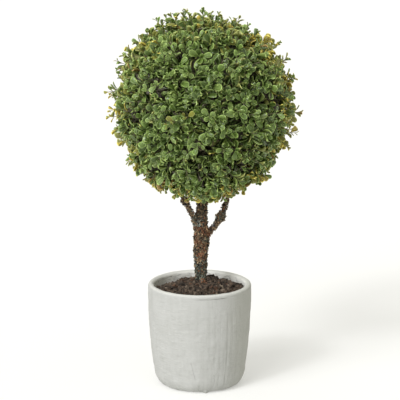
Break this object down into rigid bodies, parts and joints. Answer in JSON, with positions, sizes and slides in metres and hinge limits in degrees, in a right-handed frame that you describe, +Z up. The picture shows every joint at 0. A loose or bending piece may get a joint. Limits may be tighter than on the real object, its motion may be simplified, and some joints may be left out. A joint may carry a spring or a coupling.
{
  "type": "artificial boxwood topiary in a pot",
  "caption": "Artificial boxwood topiary: a clipped ball of leaves on a forked, rough-barked stem, in a round whitewashed cement pot filled with soil.",
  "frame": {"origin": "centre of the pot's flat underside", "axes": "+Z up along the pot's axis, and the front faces -Y"},
  "size_m": [0.2326, 0.2325, 0.4528],
  "materials": {
    "cement": "matt whitewashed cement with fine scratches and streaks",
    "soil": "crumbly dark brown potting mix",
    "bark": "rough flaking bark in dark brown, rust and grey-green",
    "foliage": "moulded matt green leaves with a soft sheen"
  },
  "bodies": {
    "root": {"pot": "cement", "soil": "soil", "trunk": "bark", "left_bough": "bark", "right_bough": "bark", "foliage_ball": "foliage"}
  },
  "joints": []
}
